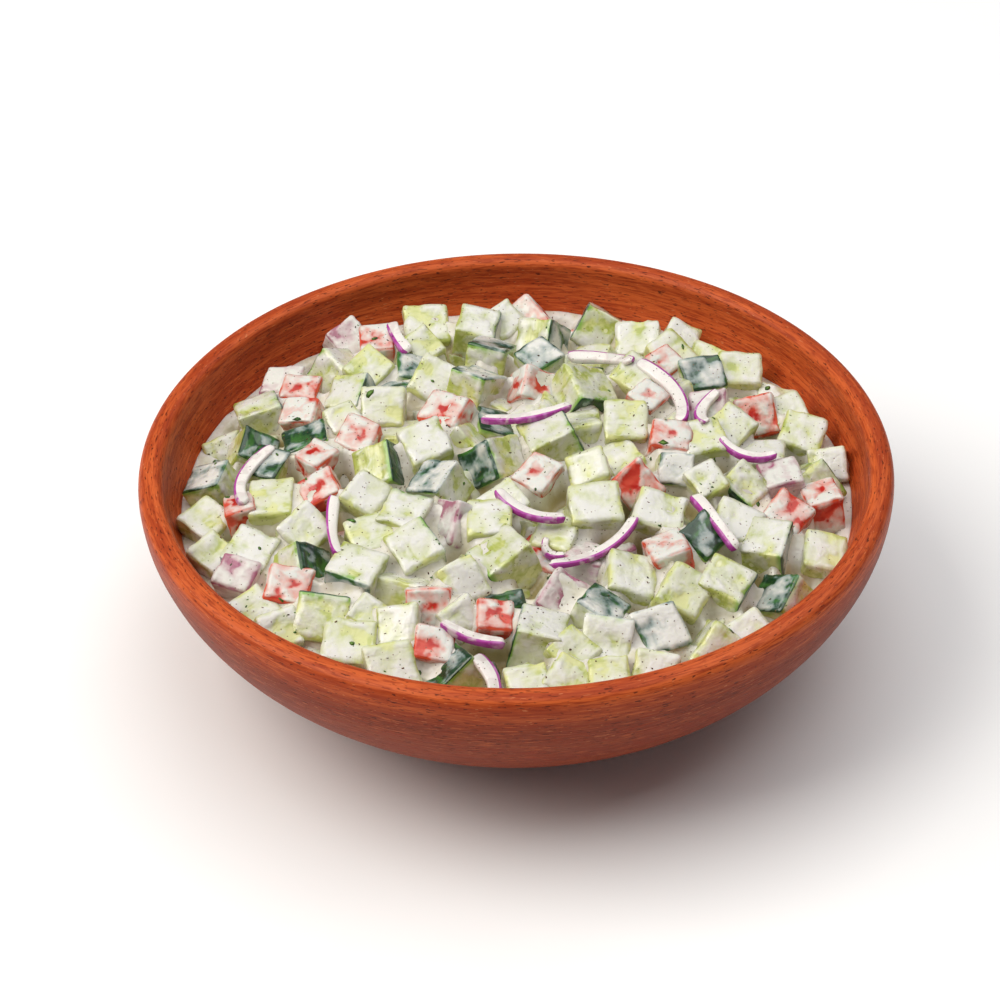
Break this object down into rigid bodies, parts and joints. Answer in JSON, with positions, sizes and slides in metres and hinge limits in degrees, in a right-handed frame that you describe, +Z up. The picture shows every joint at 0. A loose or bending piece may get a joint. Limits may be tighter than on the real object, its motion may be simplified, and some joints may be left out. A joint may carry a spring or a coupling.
{
  "type": "bowl of creamy cucumber salad",
  "caption": "Turned wooden bowl filled with a heaped salad of diced cucumber and tomato with red onion slices in a creamy white dressing, standing on a flat foot.",
  "frame": {"origin": "centre of the bowl's foot, on the surface that it stands on", "axes": "+Z up along the bowl's axis, +X to the right and -Y to the front of the heap as shown"},
  "size_m": [0.2, 0.2, 0.063],
  "materials": {
    "wood": "turned reddish brown wood, oiled, with fine rings and short dark pores along the turning",
    "salad": "wet diced vegetables coated in a white dressing, with specks of pepper and herbs"
  },
  "bodies": {
    "root": {"bowl": "wood", "salad": "salad"}
  },
  "joints": []
}
